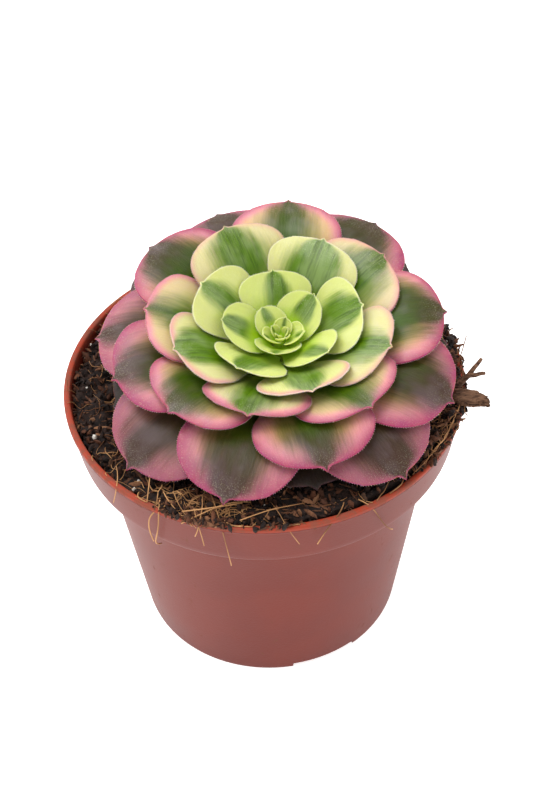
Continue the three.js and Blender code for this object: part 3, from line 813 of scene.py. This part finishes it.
def groundHeight(x, y):
    lumps = 0.5 * wobble(0.9 * x, 0.9 * y, 4) + 0.3 * wobble(2.1 * x, 2.1 * y, 9)
    lumps += 0.12 * wobble(5 * x, 5 * y, 2)
    return min(soilHeight(x, y) + lumps + banked(x, y), leafCeiling(x, y) - 0.3)


def makeSoil(finish):
    bed = primitive("soilBed", "uv_sphere", segments=soil["around"], ring_count=soil["rings"], radius=1)
    edge = innerRadius(pot["height"] - soil["drop"] - 1) - soil["gap"]
    side = [Vector((innerRadius(z) - soil["gap"], z)) for z in (collarFoot, shoulder, soil["floor"])]
    for vertex in bed.data.vertices:
        share = acos(max(-1, min(1, vertex.co.z))) / pi
        angle = atan2(vertex.co.y, vertex.co.x)
        if share <= soil["topShare"]:
            x, y = polar(edge * share / soil["topShare"], angle)
            z = groundHeight(x, y)
        else:
            line = [Vector((edge, groundHeight(*polar(edge, angle)))), *side, Vector((0, soil["floor"]))]
            down = (share - soil["topShare"]) / (1 - soil["topShare"]) * 4
            step = min(3, int(down))
            radius, z = line[step].lerp(line[step + 1], down - step)
            x, y = polar(radius, angle)
        vertex.co = (Vector((x, y, z)) + axis) * mm
    bed.data.shade_smooth()
    place(bed, ["soil"], finish)


def crumbTemplate(seed, cuts, longest, flattest=0.4):
    crumb = primitive("crumb", "ico_sphere", subdivisions=cuts, radius=1)
    chance = random.Random(seed)
    stretch = Vector((chance.uniform(0.7, 1.1) * (longest if seed % 3 else 0.5 + 0.5 * longest),
                      chance.uniform(0.5, 0.9), chance.uniform(flattest, 2 * flattest)))
    for vertex in crumb.data.vertices:
        rough = 1 + 0.6 * wobble(*(1.9 * vertex.co + Vector((seed, 0, 0))))
        vertex.co = Vector([a * b * rough for a, b in zip(vertex.co, stretch)])
    return crumb


# copies of the templates as one mesh; each spot is (place, size, seed), and tumble is how far they tip
def scatter(name, templates, spots, finish, tumble=1.57, smooth=False):
    corners, faces, tones = [], [], []
    for spot, size, seed in spots:
        chance = random.Random(seed)
        template = templates[seed % len(templates)].data
        turn = Matrix.Rotation(chance.uniform(0, 6.28), 4, "Z") @ Matrix.Scale(size, 4)
        turn = turn @ Matrix.Rotation(chance.uniform(-tumble, tumble), 4, "Y")
        turn = turn @ Matrix.Rotation(chance.uniform(0, 6.28), 4, "X")
        first = len(corners)
        tone = Vector((chance.random(), chance.random(), chance.random()))
        for vertex in template.vertices:
            corners.append((spot + turn @ vertex.co) * mm)
            tones.append(tone)
        faces.extend([first + corner for corner in face.vertices] for face in template.polygons)
    mesh = bpy.data.meshes.new(name)
    mesh.from_pydata(corners, [], faces)
    look = mesh.attributes.new("look", "FLOAT_VECTOR", "POINT")
    for entry, tone in zip(look.data, tones):
        entry.vector = tone
    if smooth:
        mesh.shade_smooth()
    place(addObject(name, mesh), [], finish)
    for template in templates:
        bpy.data.objects.remove(template, do_unlink=True)


def soilSpots(count, seed, smallest, largest, innermost=18):    # all over the soil, out to the wall
    chance = random.Random(seed)
    spots = []
    outermost = innerRadius(pot["height"] - 1) - 0.2
    for number in range(count):
        radius = sqrt(chance.uniform(innermost ** 2, outermost ** 2))
        azimuth = chance.uniform(-pi, pi)
        size = lerp(smallest, largest, chance.random() ** 2.2)
        x, y = polar(min(radius, outermost - size), azimuth)
        height = groundHeight(x, y) + chance.uniform(-0.3, 0.6) * size
        spots.append((Vector((x, y, height)) + axis, size, number + seed))
    return spots


# soil that spilled over the rim in heaps: middle azimuth, spread and share of the crumbs
spill = {"heaps": [(251, 9, 0.29), (241, 3, 0.07), (-12, 16, 0.3), (-35, 8, 0.12), (14, 9, 0.15),
                   (272, 8, 0.07)],
         "radius": (39.5, 42.6), "size": (0.18, 0.75), "onRim": 40.9, "piledTo": 41, "pile": 1.1}


def spillSpots(count, seed):
    chance = random.Random(seed)
    shares = [share for _, _, share in spill["heaps"]]
    spots = []
    for number in range(count):
        middle, spread, _ = chance.choices(spill["heaps"], shares)[0]
        azimuth = radians(chance.gauss(middle, 0.6 * spread))
        radius = chance.uniform(*spill["radius"])
        size = lerp(*spill["size"], chance.random() ** 2)
        x, y = polar(radius, azimuth)
        rest = pot["height"] if radius > spill["onRim"] else soilHeight(x, y) + 1
        piled = spill["pile"] * chance.random() ** 2
        height = max(pot["height"] - 1, rest) + 0.4 * size + (piled if radius < spill["piledTo"] else 0)
        spots.append((Vector((x, y, height)) + axis, size, number + seed))
    return spots


def earthFinish(name, dark, brown, light):
    earth = Finish(name, Specular_IOR_Level=0.3)
    spot = earth.objectPlace()
    tone, hue, _ = earth.layer("look")
    lumps = earth.grain(spot, 700, 4, 0.7)
    fine = earth.grain(spot, 3000, 3)
    colour = earth.mix(earth.fade(lumps, 0.35, 0.7), dark, brown)
    colour = earth.mix(light * earth.fade(tone, 0.5, 0.9), colour, (100, 58, 36))
    colour = earth.mix(light * earth.fade(hue, 0.9, 1), colour, (160, 112, 78))
    return earth.wear(colour, 0.85 + 0.1 * (fine - 0.5), lumps + 0.6 * fine, 0.3)


def perliteFinish():
    grainy = Finish("perliteWhite", Subsurface_Weight=0.3, Subsurface_Radius=(1, 1, 1),
                    Subsurface_Scale=0.5 * mm)
    pits = grainy.cells(grainy.objectPlace(), 2600)
    colour = grainy.mix(grainy.fade(pits, 0.1, 0.6), (250, 247, 240), (222, 214, 202))
    return grainy.wear(colour, 0.8 - 0.1 * pits, pits, 0.15)


loose = {"crumbs": 5200, "spiltCrumbs": 780, "splinters": 420, "spiltSplinters": 190, "perlite": 46,
         "dark": (18, 12, 10), "brown": (54, 36, 29), "darkWood": (74, 46, 32), "wood": (128, 86, 60)}

makeSoil(earthFinish("soilEarth", loose["dark"], loose["brown"], 0))
scatter("soilCrumbs", [crumbTemplate(seed, 1, 2.2) for seed in range(9)],
        soilSpots(loose["crumbs"], 11, 0.2, 0.9) + spillSpots(loose["spiltCrumbs"], 4001),
        earthFinish("crumbEarth", loose["dark"], loose["brown"], 0.7))
scatter("barkSplinters", [crumbTemplate(seed, 1, 4.2, 0.22) for seed in range(40, 46)],
        soilSpots(loose["splinters"], 901, 0.3, 0.8, 28) + spillSpots(loose["spiltSplinters"], 7001),
        earthFinish("splinterWood", loose["darkWood"], loose["wood"], 0.8), tumble=0.3)
scatter("perliteGrains", [crumbTemplate(seed, 2, 1) for seed in range(20, 24)],
        soilSpots(loose["perlite"], 5, 0.35, 0.75, 30), perliteFinish(), smooth=True)
print("soil made")


# stem

def stemRadius(age):
    return attachRadius(age) - stem["gap"]


def makeStem(finish):
    lowest = rosette["leaves"] - 1
    line = [(0, -stem["depth"]), (stemRadius(lowest), -stem["depth"])]
    for ring in range(stem["rings"] + 1):
        age = lerp(lowest, 0, ring / stem["rings"])
        scar = stem["scar"] * abs(sin(1.6 * age))    # where leaves have dropped
        line.append((stemRadius(age) - scar, bowlHeight(age, attachRadius(age))))
    line.append((0, heart["base"] - 0.7))
    stub = spun("stemStub", line, stem["turns"])
    for vertex in stub.data.vertices:
        x, y, z = vertex.co / mm
        swell = 1 + 0.05 * wobble(0.8 * x, 0.8 * y, 0.8 * z)
        vertex.co = rosettePlace @ Vector((x * swell, y * swell, z)) * mm
    stub.data.shade_smooth()
    place(stub, ["stem"], finish)


def stemFinish():
    rind = Finish("stemRind")
    spot = rind.objectPlace()
    patches = rind.grain(spot, 260, 4, 0.6)
    fine = rind.grain(spot, 1500, 3)
    _, _, z = rind.parts(spot)
    top = rosettePlace.translation.z * mm
    colour = rind.mix(rind.fade(patches, 0.35, 0.65), (120, 146, 44), (128, 122, 66))
    # the top of the stem is painted bright lime: partly its own young green, partly painted light in the
    # shaded gap under the bud
    colour = rind.mix(rind.fade(z, top - 9 * mm, top - 2 * mm), colour, (160, 196, 30))
    return rind.wear(colour, 0.7 + 0.15 * fine, patches + 0.5 * fine, 0.3)


makeStem(stemFinish())
print("stem made")


# bark and twig over the rim

chip = {"inner": (38.2, -8.6), "outer": (46.3, -14.0), "rise": 1.9, "width": 4.2, "thickness": 2.3,
        "left": [(0, 0.2), (0.2, 0.42), (0.6, 0.5), (0.97, 0.24), (1, 0.1)],
        "right": [(0, -0.3), (0.35, -0.5), (0.72, -0.42), (0.8, -0.2), (1, -0.12)]}
twig = {"foot": (39.4, -7.0, 64.6), "fork": (42.1, -7.4, 68.6),
        "tips": [(44.5, -7.2, 73.0), (45.0, -9.4, 71.0)], "footRadius": 0.8, "tipRadius": 0.4, "steps": 12}


def makeChip(finish):
    inner, outer = Vector(chip["inner"]), Vector(chip["outer"])
    length = (outer - inner).length
    flake = primitive("barkFlake", "cube", size=1)
    switchTo("EDIT")
    bpy.ops.mesh.subdivide(number_cuts=30)
    switchTo("OBJECT")
    rest = max(pot["height"], soilHeight(*inner)) + soil["gap"]
    toPlace = (Matrix.Translation((axis.x + inner.x, axis.y + inner.y, rest))
               @ Matrix.Rotation(atan2(outer.y - inner.y, outer.x - inner.x), 4, "Z")
               @ Matrix.Rotation(-atan2(chip["rise"], length), 4, "Y"))
    for vertex in flake.data.vertices:
        along, across, up = vertex.co + Vector((0.5, 0.5, 0.5))
        y = lerp(between(chip["right"], along), between(chip["left"], along), across) * chip["width"]
        x = along * length
        z = up * chip["thickness"]
        grooves = 0.22 * wobble(0.35 * x, 2.6 * y, 1.2 * z) + 0.12 * wobble(1.2 * x, 6 * y, 3 * z)
        inward = 1 - 2 * up
        z += inward * abs(grooves) * 1.4 + inward * 0.35 * (2 * across - 1) ** 4
        y -= (2 * across - 1) * abs(0.7 * wobble(1.5 * x, 1.9 * z, 7))
        x -= (2 * along - 1) * abs(0.4 * wobble(1.6 * y, 1.6 * z, 3))
        x -= ease(along, 0.5, 1) * abs(2.6 * wobble(2.6 * y, 1.6 * z, 11))
        vertex.co = toPlace @ Vector((x, y, z)) * mm
    flake.data.shade_smooth()
    place(flake, ["bark_chip"], finish)


def threads(name, lines, sides, finish, nodeNames=()):    # each line is [(spot, radius), ...]
    curve = bpy.data.curves.new(name, "CURVE")
    curve.dimensions = "3D"
    curve.bevel_depth = mm
    curve.bevel_resolution = sides
    curve.use_fill_caps = True
    curve.resolution_u = 4
    for line in lines:
        path = curve.splines.new("NURBS")
        path.points.add(len(line) - 1)
        path.use_endpoint_u = True
        path.order_u = min(4, len(line))
        for point, (spot, radius) in zip(path.points, line):
            point.co = (*(Vector(spot) * mm), 1)
            point.radius = radius
    keepActive(addObject(name, curve))
    bpy.ops.object.convert(target="MESH")
    piece = bpy.context.object
    piece.name = name
    closeSeams(piece, 0.000001)
    piece.data.shade_smooth()
    place(piece, nodeNames, finish)


def makeTwig(finish):
    foot, fork = Vector(twig["foot"]) + axis, Vector(twig["fork"]) + axis
    lines = []
    for side, tip in enumerate(twig["tips"]):
        end = Vector(tip) + axis
        line = []
        for step in range(twig["steps"] + 1):
            share = step / twig["steps"]
            spot = foot.lerp(fork, share * 2) if share < 0.5 else fork.lerp(end, 2 * share - 1)
            bend = Vector((wobble(5 * share, side, 1), wobble(5 * share, side, 2), 0))
            radius = lerp(twig["footRadius"], twig["tipRadius"], share)
            line.append((spot + bend * 0.25 * min(1, 4 * share),
                         0.93 * radius * (1 + 0.12 * wobble(9 * share, side, 3))))
        lines.append(line)
    threads("twigFork", lines, 3, finish, ["forked_twig"])


def barkFinish():
    bark = Finish("barkBrown", Specular_IOR_Level=0.3)
    spot = bark.objectPlace()
    x, y, z = bark.parts(spot)
    layers = bark.grain(bark.vector(x * 0.3, y * 1.6, z * 2.2), 900, 4, 0.65)
    fine = bark.grain(spot, 2600, 3, 0.7)
    colour = bark.mix(bark.fade(layers, 0.32, 0.66), (62, 40, 29), (136, 100, 76))
    colour = bark.mix(0.5 * bark.fade(fine, 0.55, 0.75), colour, (46, 30, 24))
    return bark.wear(colour, 0.8 + 0.1 * fine, layers + 0.5 * fine, 0.25)


barkBrown = barkFinish()
makeChip(barkBrown)
makeTwig(barkBrown)
print("bark and twig made")


# fibres of coir

fibres = {"count": 400, "scattered": 231, "front": (251, 8), "frontUpTo": 330, "side": (-24, 12),
          "lying": (26, 39.5), "spilling": (37, 41.5), "kept": 41.8, "overRimFrom": 40.4}

# the ones that hang over the rim: azimuth, distance from the axis, height over the rim
overRim = [
    [(218, 38.6, -0.4), (221.9, 40.1, 0.6), (224.2, 41.8, 0.55), (225.2, 42.9, -0.7), (223.2, 42.8, -5.1)],
    [(225.9, 33.2, 1.6), (228.5, 35.1, 1.9), (232.1, 38.1, 1.5), (235.2, 41.9, 0.3)],
    [(238, 40.3, 0.6), (239.7, 42.8, 0.3), (239.6, 42.95, -2.6), (238.5, 42.7, -7), (236.3, 42.3, -12),
     (234, 38, -16.5)],
    [(240.5, 41.2, 0.7), (237.1, 42.9, -0.8), (235.5, 42.8, -5.3), (235.8, 42.5, -8.2), (236.1, 41.9, -11)],
    [(249, 36.2, 1.3), (250.8, 38.8, 1.7), (251.3, 41.9, 0.8), (251.1, 43, -1.4), (250, 42.8, -3.7)],
    [(248.6, 40, 1.2), (250.3, 42.2, 0.8), (251.8, 42.9, -2.1), (252.3, 42.7, -6.1)],
    [(251, 35.2, 1.3), (253.4, 37.6, 2), (256.7, 41.6, 0.9), (258.2, 43, -3), (259.4, 42.6, -11)],
    [(270.6, 36, 0.9), (272.6, 38.9, 1.4), (274.1, 41.9, 0.7), (275.7, 42.9, -1.4), (277.7, 42.7, -4.7)],
    [(291.9, 39.4, 0.6), (289.9, 41.5, 0.7), (285.8, 42.9, -0.5), (283.6, 42.8, -3.8), (282.5, 42.7, -5.6)],
    [(296, 40, 0.6), (298.2, 42.5, 0.6), (300.5, 42.9, -4.5), (304.1, 42.4, -9.6), (306.1, 42, -11)],
    [(237, 38, 0.4), (241, 40.6, 1), (246, 42.1, 0.7), (249.5, 42.9, -0.7)],
    [(240, 37.4, 1), (244, 40.6, 1.4), (247.6, 42.3, 0.8), (250.6, 42.9, -1)],
    [(262, 37, 1.6), (257, 38.8, 2.2), (251.5, 40.4, 2), (246, 41.6, 1.3)],
    [(264.5, 36.4, 1.3), (259, 37.4, 2.4), (254, 39.6, 1.9), (249, 42.2, 0.7), (246.4, 42.9, -0.8)],
    [(281, 37.2, 0.8), (276, 38.2, 1.7), (271, 38.6, 1.9), (266, 39.8, 1.4), (262, 41, 1)],
    [(333.1, 37.4, 1.6), (336.3, 38.8, 2.2), (335.4, 40.9, 2.2), (331.6, 41.9, 1.6), (329, 40.2, 1.4)],
    [(341.5, 43.6, 1.2), (338.4, 43.4, 0.9), (334.8, 42.7, 0.7), (330.9, 42.4, 0.7), (324, 41.2, 0.7)],
    [(2, 41.2, 0.9), (3.1, 42.1, 3.2), (4.3, 42.7, 5.2), (5.1, 43.1, 6.4)],
    [(352, 41, 0.9), (348.6, 42.2, 1.6), (344, 42.6, 1), (340, 43.4, 1.6), (338.8, 44.2, 2.6)],
    [(14.6, 40.7, 0.6), (14.4, 41.3, 2), (14.2, 42.3, 2.9)],
]


def makeFibres(finish):
    chance = random.Random(77)
    lines = []
    for number in range(fibres["count"]):
        azimuth = chance.uniform(-pi, pi)
        radius = chance.uniform(*fibres["lying"])
        heading = chance.uniform(0, 2 * pi)
        thick = chance.uniform(0.04, 0.1)
        if number >= fibres["scattered"]:
            heap = fibres["front"] if number < fibres["frontUpTo"] else fibres["side"]
            azimuth = radians(chance.gauss(*heap))
            radius = chance.uniform(*fibres["spilling"])
            thick = chance.uniform(0.04, 0.13)
        spot = Vector(polar(radius, azimuth))
        line = []
        for step in range(chance.randint(5, 9)):
            heading += chance.uniform(-0.8, 0.8)
            spot = spot + Vector(polar(1, heading)) * chance.uniform(0.7, 1.4)
            if spot.length > fibres["kept"]:
                spot = spot * (fibres["kept"] / spot.length)
            z = min(groundHeight(*spot) + chance.uniform(0.2, 1.3), leafCeiling(*spot) - 0.1)
            if spot.length > fibres["overRimFrom"]:
                z = max(z, pot["height"] + 0.15)
            line.append((Vector((*spot, z)) + axis, thick * (1 if step else 0.6)))
        lines.append(line)
    for bend in overRim:
        thick = chance.uniform(0.07, 0.14)
        lines.append([(Vector((*polar(radius, radians(azimuth)), pot["height"] + height)) + axis, thick)
                      for azimuth, radius, height in bend])
    threads("coirFibres", lines, 1, finish)


def fibreFinish():
    straw = Finish("fibreStraw", Specular_IOR_Level=0.3)
    spot = straw.objectPlace()
    patches = straw.grain(spot, 90, 2)
    fine = straw.grain(spot, 1800, 2)
    colour = straw.mix(straw.fade(patches, 0.35, 0.65), (112, 70, 40), (196, 146, 96))
    return straw.wear(colour, 0.7 + 0.1 * fine, fine, 0.1)


makeFibres(fibreFinish())
print("fibres made")


# light and floor

# power, size and place of the lights
studio = {"key": (6.6, 800, (-300, 80, 1050)), "fill": (3, 500, (-620, 760, 760)), "sky": 0.95,
          "floor": 6000}


def softLight(name, power, size, spot):
    data = bpy.data.lights.new(name, "AREA")
    data.energy = power
    data.shape = "DISK"
    data.size = size * mm
    light = addObject(name, data)
    light.location = Vector(spot) * mm
    aim = Vector((0, 0, 50 * mm)) - light.location
    light.rotation_mode = "QUATERNION"
    light.rotation_quaternion = aim.to_track_quat("-Z", "Y")


def makeStudio():
    world = bpy.data.worlds.new("studio")
    world.use_nodes = True
    sky = world.node_tree.nodes["Background"]
    sky.inputs["Color"].default_value = (1, 1, 1, 1)
    sky.inputs["Strength"].default_value = studio["sky"]
    bpy.context.scene.world = world
    bpy.context.scene.view_settings.view_transform = "Standard"
    softLight("keyLight", *studio["key"])
    softLight("fillLight", *studio["fill"])
    floor = primitive("studioFloor", "circle", vertices=96, radius=studio["floor"] * mm, fill_type="NGON")
    paper = Finish("whitePaper", Roughness=0.9, Emission_Color=(1, 1, 1, 1), Emission_Strength=0.7)
    mottle = paper.grain(paper.objectPlace(), 3, 2)
    paper.wear(paper.mix(0.03 * mottle, (244, 244, 244), (236, 236, 236)))
    floor.data.materials.append(paper.material)


makeStudio()
print("studio lit")
